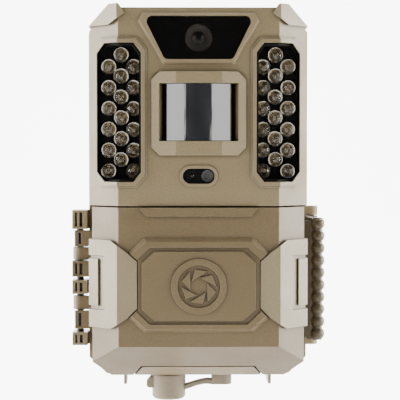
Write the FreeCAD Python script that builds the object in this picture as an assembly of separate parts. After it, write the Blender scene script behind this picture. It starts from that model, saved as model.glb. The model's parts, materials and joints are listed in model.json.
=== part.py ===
"""Trail camera: case, lens, infrared LEDs, PIR sensor, hinged door, latch, battery tray and controls.

Millimetres, +Z up, +X to the right of someone facing the camera, +Y towards the tree behind it.
Heights are written from the underside of the case, and every node is lowered at the end by
socket_height, so that the origin is at the mouth of the tripod socket.
"""
import FreeCAD
import Part
import math
import os

V = FreeCAD.Vector

# Case
case_height = 121.4
board_room = 8.7
rail_depth = 12.0
seam_depth = 20.0
wall = 2.4
front_flat_half = 26.0
corner_run = 8.5
housing_half = 35.8
door_half = 34.9
rear_half = 36.6
back_chamfer = 3.0
top_cut = 7.2
bottom_cut_width = 5.9
bottom_cut_height = 5.7
split_height = 57.2
split_gap = 0.5
part_gap = 0.3
snug = 0.05
shelf_thickness = 2.0

# Tripod socket and tree rails
socket_height = 66.7
socket_radius = 2.6
socket_length = 8.0
insert_radius = 4.0
boss_radius = 9.0
rail_x = 20.0
rail_thickness = 5.0
rail_low = 12.0
rail_high = 112.0
tooth_pitch = 5.0
tooth_depth = 1.6
strap_slot_height = 27.0
strap_slot_low = 80.0
strap_slot_depth = 4.8
strap_slot_wall = 1.8
cable_hole_radius = 4.2
cable_hole_height = 40.0

# Camera window and lens
window_top = 118.7
window_bottom = 104.7
window_top_half = 17.9
window_bottom_half = 11.0
window_corner = 1.8
window_rim_corner = 0.9
window_rim_top = 119.9
window_rim_shoulder = 117.1
window_rim_shoulder_half = 19.35
window_rim_bottom = 103.6
rim_proud = 0.9
rim_step = 0.6
pane_setback = 1.0
pane_thickness = 1.4
lens_height = 111.9
lens_radius = 3.8
lens_wall = 0.8
lens_bore_radius = 2.2
hood_thickness = 2.0
barrel_lead = 1.2
barrel_length = 10.8
sensor_board_gap = 1.6
holder_bore = 3.7
lens_x = 0.0

# Infrared LEDs
led_radius = 2.5
led_columns = (21.2, 25.25, 29.35)
led_rows = 6
led_pitch = 6.83
led_top_middle = 106.6
led_top_side = 102.8
led_window_inner = 18.6
led_window_outer = 33.0
led_window_low = 65.2
led_window_high = 110.1
led_window_cut_x = 2.5
led_window_cut_z = 3.2
led_rim_width = 1.25
led_plate_setback = 9.5
led_plate_thickness = 1.6
led_holder_wall = 0.7
led_stand = 4.2
led_length = 8.0
led_clearance = 0.06
board_thickness = 1.6

# PIR sensor
bezel_half = 15.2
bezel_flat_half = 7.4
bezel_low = 73.8
bezel_high = 100.7
bezel_cut = 2.6
bezel_proud = 3.4
bezel_edge_proud = 0.8
pir_opening_half = 13.15
pir_opening_low = 78.4
pir_opening_high = 97.0
pir_flare = 1.7
sleeve_depth = 4.4
pir_lens_half = 10.5
pir_lens_sag = 3.0
pir_lens_thickness = 1.0
pir_lens_setback = 0.3
pir_can_radius = 4.6

# Indicator
pill_height = 67.1
pill_half = 5.15
pill_radius = 2.45
pill_rim = 1.0
indicator_led_x = -2.2
indicator_led_radius = 0.9
light_sensor_x = 2.8
light_sensor_radius = 1.9

# Parts on the main board: x0, x1, low, high and height, then the round ones' x, z, radius and height
chip_blocks = (
    (-8.0, 6.0, 84.0, 98.0, 1.6), (9.0, 19.0, 86.0, 97.0, 1.2), (-22.0, -13.0, 72.0, 80.0, 1.2),
    (-4.0, 6.0, 66.0, 71.0, 2.4),
)
chip_cans = ((14.0, 74.0, 3.2, 7.0), (-17.0, 92.0, 4.0, 9.0))

# Corner guards
guard_proud = 1.2
guard_points = ((28.0, 3.5), (25.4, 0.6), (23.9, -1.9), (29.1, -5.5), (39.0, -5.7), (39.0, 3.5))

# Door
door_wall = 2.2
crease_height = 11.7
under_slope = 1.417
lip_low = 54.1
lip_top_half = 19.4
lip_low_half = 17.0
lip_proud = 1.2
notch_top = 3.75
notch_top_half = 19.0
notch_low_half = 21.7
notch_side_gap = 0.5
plate_low = 16.4
plate_high = 47.2
plate_half = 23.1
plate_corner_x = 5.4
plate_corner_z = 4.85
plate_proud = 1.6
plate_bevel = 1.3
groove_outer_half = 20.1
groove_inner_half = 18.4
groove_depth = 0.7
badge_height = 31.5
badge_outer = 9.0
badge_inner = 6.9
badge_proud = 0.6
grip_proud = 1.1
grip_low = 17.5
grip_high = 46.3
grip_inner = 20.0
grip_back = 12.0
grip_gap = 0.35
door_depth_gap = 0.3

# Hinge
hinge_x = -39.6
hinge_pin_radius = 1.2
hinge_clearance = 0.05
hinge_wall = 1.3
hinge_cap = 1.0
hinge_rear = 4.5
hinge_outer_x = -42.1
hinge_inner_x = -37.0
hinge_front = 3.6
rear_knuckles = ((49.1, 55.4), (27.3, 31.9), (10.1, 14.4))
door_knuckles = ((33.1, 38.4),)
door_sleeves = ((38.7, 43.0), (22.0, 26.5))
slot_webs = ((43.3, 48.7), (15.6, 21.7))
sleeve_wall_round = 1.2
slot_web_half = 1.7
knuckle_slots = ((-41.1, -40.4), (-39.6, -38.6))
knuckle_slot_depth = 1.6
slot_end = 0.8
web_slot = (-0.7, 0.5)

# Latch
latch_x = 39.4
latch_setback = 32.0
latch_pin_radius = 1.25
latch_wall = 1.05
latch_low = 11.8
latch_high = 52.9
bead_count = 10
bead_x = 40.2
bead_radius = 2.4
bead_waist = 1.75
bead_setback = 17.0
latch_web_thickness = 1.8
ear_height = 3.2

# Control bay
panel_half = 32.0
panel_low = 6.4
panel_high = 54.2
panel_thickness = 2.0
panel_proud = 2.5
skirt_wall = 1.5
ledge_setback = 2.0
ledge_width = 4.2
panel_boss_radius = 2.6
key_radius = 3.4
key_clearance = 0.25
key_proud = 2.0
key_flange = 0.8
key_flange_width = 0.7
key_gap = 1.2
key_centre = (0.0, 22.5)
lcd_half = 16.0
lcd_low = 38.0
lcd_high = 52.5
lcd_fit = 0.1
switch_x = 21.5
switch_height = 22.5
switch_slot_half = 5.0
switch_knob_half = 1.8
control_board_setback = 3.2

# SD card
sd_x = 29.2
sd_thickness = 2.1
sd_width = 24.0
sd_length = 32.0
sd_low = 21.0
sd_proud = 1.2
sd_clearance = 0.25

# Battery bay, tray and cells
cell_radius = 7.1
cell_length = 50.5
cell_gap = 0.7
cell_columns = 3
cell_rows = 2
tray_clearance = 0.4
tray_side_wall = 0.9
tray_floor = 2.4
contact_low = 1.4
contact_high = 1.3
tray_lid = 1.4
bay_wall = 1.4

# DC port and rubber cover
port_x = -9.8
port_setback = 4.4
well_radius = 3.9
cover_radius = 5.7
cover_drop = 9.1
cover_gap = 0.35
stem_radius = 2.9
stem_height = 2.2
strap_thickness = 1.6
strap_width = 5.0
strap_low = 6.0
anchor_x = 4.6
anchor_length = 6.9
anchor_drop = 4.2
fin_x = 24.7
fin_thickness = 1.0
fin_drop = 4.6
fin_depth = 30.0
fin_tip_depth = 14.0
fin_setback = 5.0

# Screws
post_gap = 0.25
screw_heights = (12.0, 65.5, 111.5)
post_radius = 4.2
screw_head_radius = 2.7
screw_head_height = 2.0
screw_radius = 1.4
screw_recess = 30.0

# Planes worked out from the sizes above, front to back
cell_pitch = 2 * cell_radius + cell_gap
bay_depth = cell_rows * cell_pitch + tray_side_wall + 2 * tray_clearance + bay_wall
case_depth = seam_depth + board_room + bay_depth + wall
front = -rail_depth - case_depth
back = -rail_depth
seam = front + seam_depth
door_back = seam - door_depth_gap
door_top = split_height - split_gap / 2
housing_bottom = split_height + split_gap / 2
shelf_top = housing_bottom + wall
rear_inner = back - wall
panel_front = seam - panel_proud
panel_back = panel_front + panel_thickness
board_front = panel_back + control_board_setback
tray_half = cell_columns * cell_pitch / 2 + tray_side_wall
tray_back = rear_inner - tray_clearance
bay_half = tray_half + tray_clearance + bay_wall
screw_x = bay_half + post_radius + post_gap
tray_front = tray_back - cell_rows * cell_pitch - tray_side_wall
bay_front = tray_front - tray_clearance
main_board_front = seam + 0.6
hinge_y = seam
hinge_barrel_radius = hinge_pin_radius + hinge_wall
sleeve_radius = hinge_pin_radius + sleeve_wall_round
hinge_low = rear_knuckles[-1][0] + hinge_cap
hinge_high = rear_knuckles[0][1] - hinge_cap
latch_y = front + latch_setback
latch_barrel_radius = latch_pin_radius + latch_wall
bead_y = front + bead_setback
port_y = seam + port_setback
hood_front = front + wall
hood_back = hood_front + hood_thickness
barrel_front = hood_back - barrel_lead
barrel_back = barrel_front + barrel_length
sensor_board_front = seam - sensor_board_gap
led_plate_front = front + led_plate_setback
led_board_front = led_plate_front - led_stand + led_length
lens_curve = (pir_lens_half ** 2 + pir_lens_sag ** 2) / (2 * pir_lens_sag)
lens_apex = front - bezel_proud + pir_lens_setback
lens_edge = lens_apex + pir_lens_sag
cell_low = tray_floor + contact_low
cell_high = cell_low + cell_length
tray_top = cell_high + contact_high + tray_lid
key_pitch = 2 * (key_radius + key_flange_width) + key_gap
nodes = {}


def block(x0, x1, y0, y1, z0, z1):
    return Part.makeBox(x1 - x0, y1 - y0, z1 - z0, V(x0, y0, z0))


def prism(points, along):
    face = Part.Face(Part.makePolygon(points + [points[0]]))
    return face.extrude(along)


def prism_x(outline, x0, x1):
    """An outline of (y, z) points, from x0 to x1."""
    return prism([V(x0, y, z) for y, z in outline], V(x1 - x0, 0, 0))


def prism_y(outline, y0, y1):
    """An outline of (x, z) points, from y0 to y1."""
    return prism([V(x, y0, z) for x, z in outline], V(0, y1 - y0, 0))


def prism_z(outline, z0, z1):
    """An outline of (x, y) points, from z0 to z1."""
    return prism([V(x, y, z0) for x, y in outline], V(0, 0, z1 - z0))


def rod_x(y, z, radius, x0, x1):
    return Part.makeCylinder(radius, x1 - x0, V(x0, y, z), V(1, 0, 0))


def rod_y(x, z, radius, y0, y1):
    return Part.makeCylinder(radius, y1 - y0, V(x, y0, z), V(0, 1, 0))


def rod_z(x, y, radius, z0, z1):
    return Part.makeCylinder(radius, z1 - z0, V(x, y, z0), V(0, 0, 1))


def loft(first, second):
    """A solid between two closed outlines of points."""
    wires = [Part.makePolygon(points + [points[0]]) for points in (first, second)]
    return Part.makeLoft(wires, True, True)


def rounded(points, radius):
    """A closed outline of points whose corners are rounded."""
    edges = []
    last = None
    count = len(points)
    for index in range(count + 1):
        corner = points[index % count]
        to_last = (points[index % count - 1] - corner).normalize()
        to_next = (points[(index + 1) % count] - corner).normalize()
        half_angle = to_last.getAngle(to_next) / 2
        reach = radius / math.tan(half_angle)
        begin = corner + to_last * reach
        if last:
            edges.append(Part.LineSegment(last, begin).toShape())
        if index < count:
            inward = (to_last + to_next).normalize()
            middle = corner + inward * (radius / math.sin(half_angle) - radius)
            last = corner + to_next * reach
            edges.append(Part.Arc(begin, middle, last).toShape())
    return Part.Wire(edges)


def rounded_prism_y(outline, y0, y1, radius):
    face = Part.Face(rounded([V(x, y0, z) for x, z in outline], radius))
    return face.extrude(V(0, y1 - y0, 0))


def mirrored(shape):
    return shape.mirror(V(0, 0, 0), V(1, 0, 0))


def both_sides(shape):
    """The right-hand shape and its mirror image, as separate solids."""
    return Part.makeCompound([shape, mirrored(shape)])


def fuse(shapes):
    joined = shapes[0].multiFuse(shapes[1:])
    return joined.removeSplitter()


def octagon(x0, x1, z0, z1, cut_x, cut_z):
    return [
        (x0 + cut_x, z0), (x1 - cut_x, z0), (x1, z0 + cut_z), (x1, z1 - cut_z),
        (x1 - cut_x, z1), (x0 + cut_x, z1), (x0, z1 - cut_z), (x0, z0 + cut_z),
    ]


def case_plan(half, proud, rear):
    """Plan of the case front: flat face, slanted corner faces and side walls, all moved out by proud."""
    width = half - front_flat_half
    slant = math.hypot(width, corner_run)
    flat = front_flat_half + proud * (slant - width) / corner_run
    corner = front + corner_run + proud * (corner_run - slant) / width
    side = half + proud
    return [
        (-side, rear), (-side, corner), (-flat, front - proud),
        (flat, front - proud), (side, corner), (side, rear),
    ]


def top_outline(half, low, proud):
    """Elevation of the upper case with its two cut corners, moved out by proud."""
    shift = proud * (math.sqrt(2) - 1)
    side = half + proud
    shoulder = case_height - top_cut + shift
    return [
        (-side, low), (side, low), (side, shoulder), (half - top_cut + shift, case_height + proud),
        (-half + top_cut - shift, case_height + proud), (-side, shoulder),
    ]


def bottom_outline(half, high, inset):
    """Elevation of the lower case with its two cut corners, moved in by inset."""
    side = half - inset
    slant = math.hypot(bottom_cut_width, bottom_cut_height)
    rise = inset * (slant - bottom_cut_width) / bottom_cut_height
    run = inset * (slant - bottom_cut_height) / bottom_cut_width
    return [
        (-half + bottom_cut_width + run, inset), (half - bottom_cut_width - run, inset),
        (side, bottom_cut_height + rise), (side, high), (-side, high), (-side, bottom_cut_height + rise),
    ]


def upper_body(proud, low, rear):
    plan = prism_z(case_plan(housing_half, proud, rear), low, case_height + 10)
    return plan.common(prism_y(top_outline(housing_half, low, proud), front - 10, rear))


def led_opening(grow, y0, y1):
    outline = octagon(
        led_window_inner - grow, led_window_outer + grow, led_window_low - grow, led_window_high + grow,
        led_window_cut_x + grow * 0.3, led_window_cut_z + grow * 0.3,
    )
    return prism_y(outline, y0, y1)


def window_outline(gap):
    """The camera window in elevation, made smaller by the gap."""
    return [
        (-window_bottom_half + gap, window_bottom + gap), (window_bottom_half - gap, window_bottom + gap),
        (window_top_half - gap * 2, window_top - gap), (-window_top_half + gap * 2, window_top - gap),
    ]


def window_rim_outline(inset):
    low_half = window_bottom_half + 0.5 - inset * 0.6
    low = window_rim_bottom - rim_step + inset
    shoulder_half = window_rim_shoulder_half + 0.3 - inset
    top_half = window_top_half + 0.2 - inset * 0.4
    top = window_rim_top - inset
    return [
        (-low_half, low), (low_half, low), (shoulder_half, window_rim_shoulder), (top_half, top),
                (-top_half, top),
        (-shoulder_half, window_rim_shoulder),
    ]


def pill(grow, y0, y1):
    radius = pill_radius + grow
    reach = pill_half - pill_radius
    middle = block(-reach, reach, y0, y1, pill_height - radius, pill_height + radius)
    ends = [rod_y(side * reach, pill_height, radius, y0, y1) for side in (-1, 1)]
    return fuse([middle] + ends)


def front_housing():
    shell = upper_body(0, housing_bottom, seam)
    cavity = upper_body(-wall, shelf_top, seam)
    rims = []
    for grow, proud in ((led_rim_width, rim_proud), (led_rim_width + rim_step, rim_proud / 2)):
        rim = led_opening(grow, front - 2, front + corner_run).common(upper_body(proud, housing_bottom,
                seam - 2))
        rims += [rim, mirrored(rim)]
    rim_base = rounded([V(x, front, z) for x, z in window_rim_outline(0)], window_rim_corner)
    rim_top = rounded([V(x, front - rim_proud, z) for x, z in window_rim_outline(rim_step)],
            window_rim_corner)
    window_rim = Part.makeLoft([rim_base, rim_top], True, True)
    pill_ring = pill(pill_rim, front - rim_proud / 2, front)
    shell = fuse([shell] + rims + [window_rim, pill_ring]).cut(cavity)
    pocket = led_opening(0.8, front - 3, front + led_plate_setback + 4)
    led_walls = pocket.common(upper_body(-wall * 0.5, housing_bottom, seam - 2))
    shell = fuse([shell, led_walls, mirrored(led_walls)])
    posts = []
    for side in (-1, 1):
        for height in screw_heights[1:]:
            posts.append(rod_y(side * screw_x, height, post_radius, seam - 5.0, seam))
    posts = Part.makeCompound(posts).common(upper_body(-0.5, housing_bottom, seam))
    shell = fuse([shell] + posts.Solids)
    cuts = [
        led_opening(0, front - 5, seam), mirrored(led_opening(0, front - 5, seam)),
        rounded_prism_y(window_outline(0), front - 5, front + wall + 5, window_corner),
        pill(0, front - 5, front + wall + 5),
        sleeve_block(0.05, front - 1, front + wall + 5),
    ]
    for side in (-1, 1):
        for height in screw_heights[1:]:
            cuts.append(rod_y(side * screw_x, height, screw_radius, seam - 4.0, seam + 1))
    for side in (-1, 1):
        for x, z in led_places(side)[:led_rows]:
            cuts.append(rod_y(x, z, led_radius + led_clearance, led_plate_front - led_stand - 1, seam))
    for cutter in cuts:
        shell = shell.cut(cutter)
    return shell


def corner_guards():
    outline = [(x, case_height + z) for x, z in guard_points]
    wrap = prism_y(outline, front - 5, seam).common(upper_body(guard_proud, housing_bottom, seam))
    return both_sides(wrap.cut(upper_body(0, housing_bottom, seam)))


def lens_window():
    return rounded_prism_y(window_outline(0.05), front + pane_setback,
            front + pane_setback + pane_thickness,
                           window_corner)


def lens_hood():
    plate = prism_y(window_outline(-1.0), hood_front, hood_back)
    keep = upper_body(-wall - 0.05, shelf_top, seam)
    return plate.common(keep).cut(rod_y(lens_x, lens_height, lens_radius + lens_wall + 0.1,
            hood_front - 1, hood_back + 1))


def lens_barrel():
    tube = rod_y(lens_x, lens_height, lens_radius + lens_wall, barrel_front, barrel_back)
    cone = Part.makeCone(lens_radius - 0.2, lens_bore_radius, 1.6, V(lens_x, barrel_front,
            lens_height), V(0, 1, 0))
    return tube.cut(cone).cut(rod_y(lens_x, lens_height, lens_bore_radius, barrel_front + 1,
            barrel_back + 1))


def lens_front_glass():
    ball = Part.makeSphere(3.4, V(lens_x, barrel_front + 4.2, lens_height))
    return ball.common(rod_y(lens_x, lens_height, lens_bore_radius - snug, barrel_front + 0.5,
            barrel_front + 2.4))


def lens_holder():
    body = block(-8, 8, barrel_back - 4, sensor_board_front, lens_height - 7.0, lens_height + 6.5)
    return body.cut(rod_y(lens_x, lens_height, lens_radius + lens_wall + snug, barrel_back - 5,
            barrel_back + snug)).cut(
        rod_y(lens_x, lens_height, holder_bore, barrel_back - 1, sensor_board_front + 1))


def image_sensor_board():
    board = block(-10, 10, sensor_board_front, sensor_board_front + 1.2, lens_height - 8.5,
            lens_height + 6.8)
    chip = block(-2.8, 2.8, sensor_board_front - 0.8, sensor_board_front, lens_height - 2.1,
            lens_height + 2.1)
    return fuse([board, chip])


def led_places(side):
    places = []
    for index, column in enumerate(led_columns):
        top = led_top_middle if index == 1 else led_top_side
        for row in range(led_rows):
            places.append((side * column, top - row * led_pitch))
    return places


def led_holder(side):
    rear = led_plate_front + led_plate_thickness
    tub = led_opening(-0.05, front - 5, rear).common(upper_body(-0.9, housing_bottom, rear))
    tub = tub.cut(led_opening(-0.05 - led_holder_wall, front - 6, led_plate_front))
    if side < 0:
        tub = mirrored(tub)
    for x, z in led_places(side):
        tub = tub.cut(rod_y(x, z, led_radius + led_clearance, led_plate_front - 6, rear + 1))
    return tub


def ir_leds(side):
    tip = led_plate_front - led_stand
    solids = []
    for x, z in led_places(side):
        body = rod_y(x, z, led_radius, tip + led_radius, tip + led_length)
        dome = Part.makeSphere(led_radius, V(x, tip + led_radius, z))
        solids.append(fuse([body, dome]))
    return Part.makeCompound(solids)


def led_boards():
    outline = octagon(led_window_inner + 0.4, led_window_outer - 0.4, led_window_low + 0.4,
                      led_window_high - 0.4, led_window_cut_x, led_window_cut_z)
    side_board = prism_y(outline, led_board_front, led_board_front + board_thickness)
    middle_board = block(-7, 7, front + 4.5, front + 5.5, pill_height - 4, pill_height + 4)
    return Part.makeCompound([side_board, mirrored(side_board), middle_board])


def sleeve_block(grow, y0, y1):
    half = pir_opening_half + 0.7 + grow
    return block(-half, half, y0, y1, pir_opening_low - 1.2 - grow, pir_opening_high + 1.2 + grow)


def pir_bezel():
    outline = octagon(-bezel_half, bezel_half, bezel_low, bezel_high, bezel_cut, bezel_cut)
    plan = [
        (-bezel_half, front), (-bezel_half, front - bezel_edge_proud), (-bezel_flat_half,
                front - bezel_proud),
        (bezel_flat_half, front - bezel_proud), (bezel_half, front - bezel_edge_proud), (bezel_half, front),
    ]
    face = prism_y(outline, front - bezel_proud, front).common(prism_z(plan, bezel_low, bezel_high))
    sleeve = sleeve_block(0, front, front + sleeve_depth)

    def opening(half, y):
        return [V(-half, y, pir_opening_low), V(half, y, pir_opening_low), V(half, y, pir_opening_high),
                V(-half, y, pir_opening_high)]

    flare = loft(opening(pir_opening_half, front - bezel_proud - 0.01),
                 opening(pir_opening_half - pir_flare, front + sleeve_depth + 0.01))
    return fuse([face, sleeve]).cut(flare)


def pir_fresnel_lens():
    low, high = pir_opening_low + 0.2, pir_opening_high - 0.2
    centre = lens_apex + lens_curve
    skin = rod_z(0, centre, lens_curve, low, high).cut(
        rod_z(0, centre, lens_curve - pir_lens_thickness, low - 1, high + 1))
    skin = skin.common(block(-pir_lens_half, pir_lens_half, lens_apex - 1, lens_edge, low - 1, high + 1))
    leg_end = front + sleeve_depth - 0.1
    leg = block(pir_lens_half - pir_lens_thickness, pir_lens_half, lens_edge - 0.5, leg_end, low, high)
    leg = leg.common(rod_z(0, centre, lens_curve, low, high).fuse(block(0, 30, lens_edge, front + 30,
            low, high)))
    return fuse([skin, leg, mirrored(leg)])


def pir_holder():
    plate = sleeve_block(0, front + sleeve_depth, front + sleeve_depth + 1.6)
    window = block(-pir_lens_half + 1.5, pir_lens_half - 1.5, front, front + 20, pir_opening_low + 1.5,
                   pir_opening_high - 1.5)
    return plate.cut(window)


def pir_sensor():
    height = (pir_opening_low + pir_opening_high) / 2
    can = rod_y(0, height, pir_can_radius, front + 12.0, front + 16.2)
    base = rod_y(0, height, pir_can_radius + 0.6, front + 16.2, main_board_front)
    return fuse([can, base])


def indicator_window():
    plate = pill(-0.05, front + pane_setback, front + wall + 0.6)
    plate = plate.cut(rod_y(indicator_led_x, pill_height, indicator_led_radius + 0.05, front - 1,
            front + 5))
    return plate.cut(rod_y(light_sensor_x, pill_height, light_sensor_radius + 0.05, front - 1, front + 5))


def indicator_led():
    dome = Part.makeSphere(indicator_led_radius, V(indicator_led_x, front + 1.4, pill_height))
    body = rod_y(indicator_led_x, pill_height, indicator_led_radius, front + 1.4, front + 4.5)
    return fuse([dome, body])


def light_sensor():
    body = rod_y(light_sensor_x, pill_height, light_sensor_radius, front + 1.3, front + 4.5)
    mouth = V(light_sensor_x, front + 1.3, pill_height)
    dish = Part.makeCone(light_sensor_radius - 0.5, 0.7, 0.8, mouth, V(0, 1, 0))
    return body.cut(dish)


def main_board():
    board = block(-30, 30, main_board_front, main_board_front + board_thickness, shelf_top + 1.2,
                  case_height - wall - 1.2)
    corner = 9.5
    for side in (-1, 1):
        for height in screw_heights[1:]:
            board = board.cut(rod_y(side * screw_x, height, post_radius + 0.5, seam - 5, seam + 10))
        top = case_height - wall - 1.2
        triangle = [(side * 31, top + 1), (side * 31, top - corner), (side * (30 - corner), top + 1)]
        board = board.cut(prism_y(triangle, seam - 5, seam + 10))
    return board


def board_chips():
    rear = main_board_front + board_thickness
    chips = [block(x0, x1, rear, rear + height, z0, z1) for x0, x1, z0, z1, height in chip_blocks]
    cans = [rod_y(x, z, radius, rear, rear + height) for x, z, radius, height in chip_cans]
    return Part.makeCompound(chips + cans)


def rear_outline(inset):
    side = rear_half - inset
    slope = back_chamfer
    shift = inset * (math.sqrt(2) - 1)
    return [
        (-side, seam), (side, seam), (side, back - slope - shift), (rear_half - slope - shift,
                back - inset),
        (-rear_half + slope + shift, back - inset), (-side, back - slope - shift),
    ]


def rear_body(inset):
    low, high = inset, case_height - inset
    body = prism_z(rear_outline(inset), low, high)
    top = prism_y(top_outline(rear_half, inset, -inset), seam, back)
    bottom = prism_y(bottom_outline(rear_half, case_height, inset), seam, back)
    return body.common(top).common(bottom)


def hinge_block(low, high, door_side):
    """A squared knuckle with two moulding slots in its front. On the door it is round behind the pin."""
    front_y = hinge_y - hinge_front
    if door_side:
        solid = block(hinge_outer_x, hinge_inner_x, front_y, hinge_y, low, high)
        arm = block(hinge_inner_x, -door_half + door_wall / 2, front_y, door_back, low, high)
        ring = rod_z(hinge_x, hinge_y, hinge_barrel_radius, low, high)
        solid = fuse([solid, arm, ring])
    else:
        solid = block(hinge_outer_x, hinge_inner_x, front_y, hinge_y + hinge_rear, low, high)
        arm = block(hinge_inner_x, -rear_half + 0.8, hinge_y, hinge_y + hinge_rear, low, high)
        solid = fuse([solid, arm])
    for x0, x1 in knuckle_slots:
        solid = solid.cut(block(x0, x1, front_y - 1, front_y + knuckle_slot_depth, low + slot_end,
                high - slot_end))
    return solid


def hinge_bore(low, high):
    return rod_z(hinge_x, hinge_y, hinge_pin_radius + hinge_clearance, low, high)


def jack_room():
    return block(port_x - 5.0, port_x + 5.0, seam, seam + port_setback + 4, wall, wall + 11.5)


def rear_shell():
    keep = rear_body(0)
    shell = keep.cut(rear_body(wall))
    shelf = block(-rear_half, rear_half, seam, back - 1, shelf_top - shelf_thickness,
            shelf_top).common(keep)
    ledge_y = seam + ledge_setback
    ledge = block(-rear_half, rear_half, ledge_y, ledge_y + 2, 0, shelf_top).common(keep)
    ledge = ledge.cut(block(-panel_half + ledge_width - 1.4, panel_half - ledge_width + 1.4, seam, seam + 9,
                            panel_low + 1.2, panel_high - 1.2))
    posts = []
    for side in (-1, 1):
        for height in screw_heights:
            posts.append(rod_y(side * screw_x, height, post_radius, seam + 6.0, back - 1))
    boss = rod_y(0, socket_height, boss_radius, back - wall, 0)
    inner_boss = rod_y(0, socket_height, insert_radius + 2, back - wall - 2, back)
    fins = []
    for side in (-1, 1):
        y0 = seam + fin_setback
        outline = [(y0, 0.5), (y0 + fin_depth, 0.5), (y0 + fin_depth, 0), (y0 + fin_tip_depth, -fin_drop),
                   (y0 + 0.8, -fin_drop)]
        fins.append(prism_x(outline, side * fin_x - fin_thickness / 2, side * fin_x + fin_thickness / 2))
    ears = []
    for low in (latch_low - 0.2 - ear_height, latch_high + 0.2):
        ear = rod_z(latch_x, latch_y, latch_barrel_radius, low, low + ear_height)
        web = block(rear_half - 0.8, latch_x, latch_y - latch_barrel_radius,
                latch_y + latch_barrel_radius + 2, low,
                    low + ear_height)
        ears += [ear, web]
    knuckles = [hinge_block(low, high, False) for low, high in rear_knuckles]
    lip = notch(part_gap, notch_side_gap, front, seam + 1).common(door_body(0, seam + 1))
    shell = fuse([shell, shelf, ledge, lip] + posts + [boss, inner_boss] + fins + ears + knuckles)
    cuts = [rod_y(0, socket_height, insert_radius, -socket_length - 1.0, 1)]
    for side in (-1, 1):
        for height in screw_heights:
            cuts.append(rod_y(side * screw_x, height, screw_head_radius + 0.3, back - screw_recess,
                    back + 1))
            cuts.append(rod_y(side * screw_x, height, screw_radius + 0.1, seam - 1, back))
    cuts.append(hinge_bore(hinge_low, hinge_high))
    cuts.append(rod_z(latch_x, latch_y, latch_pin_radius + hinge_clearance, latch_low - ear_height + 0.8,
                      latch_high + ear_height + 1))
    cuts.append(block(-tray_half - tray_clearance, tray_half + tray_clearance, bay_front, rear_inner,
            -10, wall + 1))
    cuts.append(rod_z(port_x, seam + port_setback, well_radius, -1, wall + 1))
    sd_socket_room = block(sd_x - 3.2, sd_x + 3.6, seam, seam + 5, sd_low - 1.6, sd_low + sd_width + 1.6)
    cuts.append(sd_socket_room)
    cuts.append(jack_room())
    for side in (-1, 1):
        cuts.append(rod_y(side * screw_x, screw_heights[0], panel_boss_radius + part_gap, seam - 1,
                seam + 5))
    for cutter in cuts:
        shell = shell.cut(cutter)
    return shell


def notch(top_gap, side_gap, y0, y1):
    """The opening in the door's lower edge,
            made smaller by the two gaps for the case's lip that fills it."""
    top = notch_top - top_gap
    return prism_y([(-notch_low_half + side_gap, 0), (notch_low_half - side_gap, 0),
            (notch_top_half - side_gap, top),
                    (-notch_top_half + side_gap, top)], y0, y1)


def tripod_insert():
    body = rod_y(0, socket_height, insert_radius, -socket_length - 1.0, 0)
    return body.cut(rod_y(0, socket_height, socket_radius, -socket_length, 1))


def bracket_rail(side):
    x0 = side * rail_x - rail_thickness / 2
    outline = [(back, rail_low), (back, rail_high), (back + 4.0, rail_high)]
    teeth = int((rail_high - rail_low - 10.0) / tooth_pitch)
    z = rail_low + 5.0 + teeth * tooth_pitch
    outline.append((-tooth_depth, z))
    for index in range(teeth):
        outline.append((0.0, z - tooth_pitch * 0.5))
        outline.append((-tooth_depth, z - tooth_pitch))
        z -= tooth_pitch
    outline.append((back + 4.0, rail_low))
    rail = prism_x(outline, x0, x0 + rail_thickness)
    slot_y = back + strap_slot_wall
    slot = block(x0 - 1, x0 + rail_thickness + 1, slot_y, slot_y + strap_slot_depth, strap_slot_low,
                 strap_slot_low + strap_slot_height)
    hole = rod_x(back + 2.0 + cable_hole_radius, cable_hole_height, cable_hole_radius, x0 - 1,
                 x0 + rail_thickness + 1)
    return rail.cut(slot).cut(hole)


def shell_screws():
    solids = []
    head = back - screw_recess
    for side in (-1, 1):
        for index, height in enumerate(screw_heights):
            tip = seam - 3.5 if index else panel_back + 0.4
            shank = rod_y(side * screw_x, height, screw_radius - 0.05, tip, head)
            cap = rod_y(side * screw_x, height, screw_head_radius, head, head + screw_head_height)
            drive = rod_y(side * screw_x, height, 1.1, head + 1.0, head + screw_head_height + 1)
            solids.append(fuse([shank, cap]).cut(drive))
    return Part.makeCompound(solids)


def shell_gasket():
    """A cord seal in a groove between the case halves, above the shelf."""
    ring = prism_y(top_outline(housing_half, housing_bottom, -0.8), seam - 0.6, seam)
    return ring.cut(prism_y(top_outline(housing_half, housing_bottom + 0.8, -1.6), seam - 1, seam + 1))


def door_body(inset, rear):
    plan = prism_z(case_plan(door_half, -inset, rear), inset, door_top - inset)
    body = plan.common(prism_y(bottom_outline(door_half, door_top, inset), front - 5, rear))
    slope_run = crease_height * under_slope
    shift = inset * math.hypot(1, under_slope)
    wedge = [(front - 1, crease_height + 1 / under_slope + shift / under_slope), (front - 1, -5),
             (front + slope_run + shift + 5 * under_slope, -5)]
    return body.cut(prism_x(wedge, -60, 60))


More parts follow.
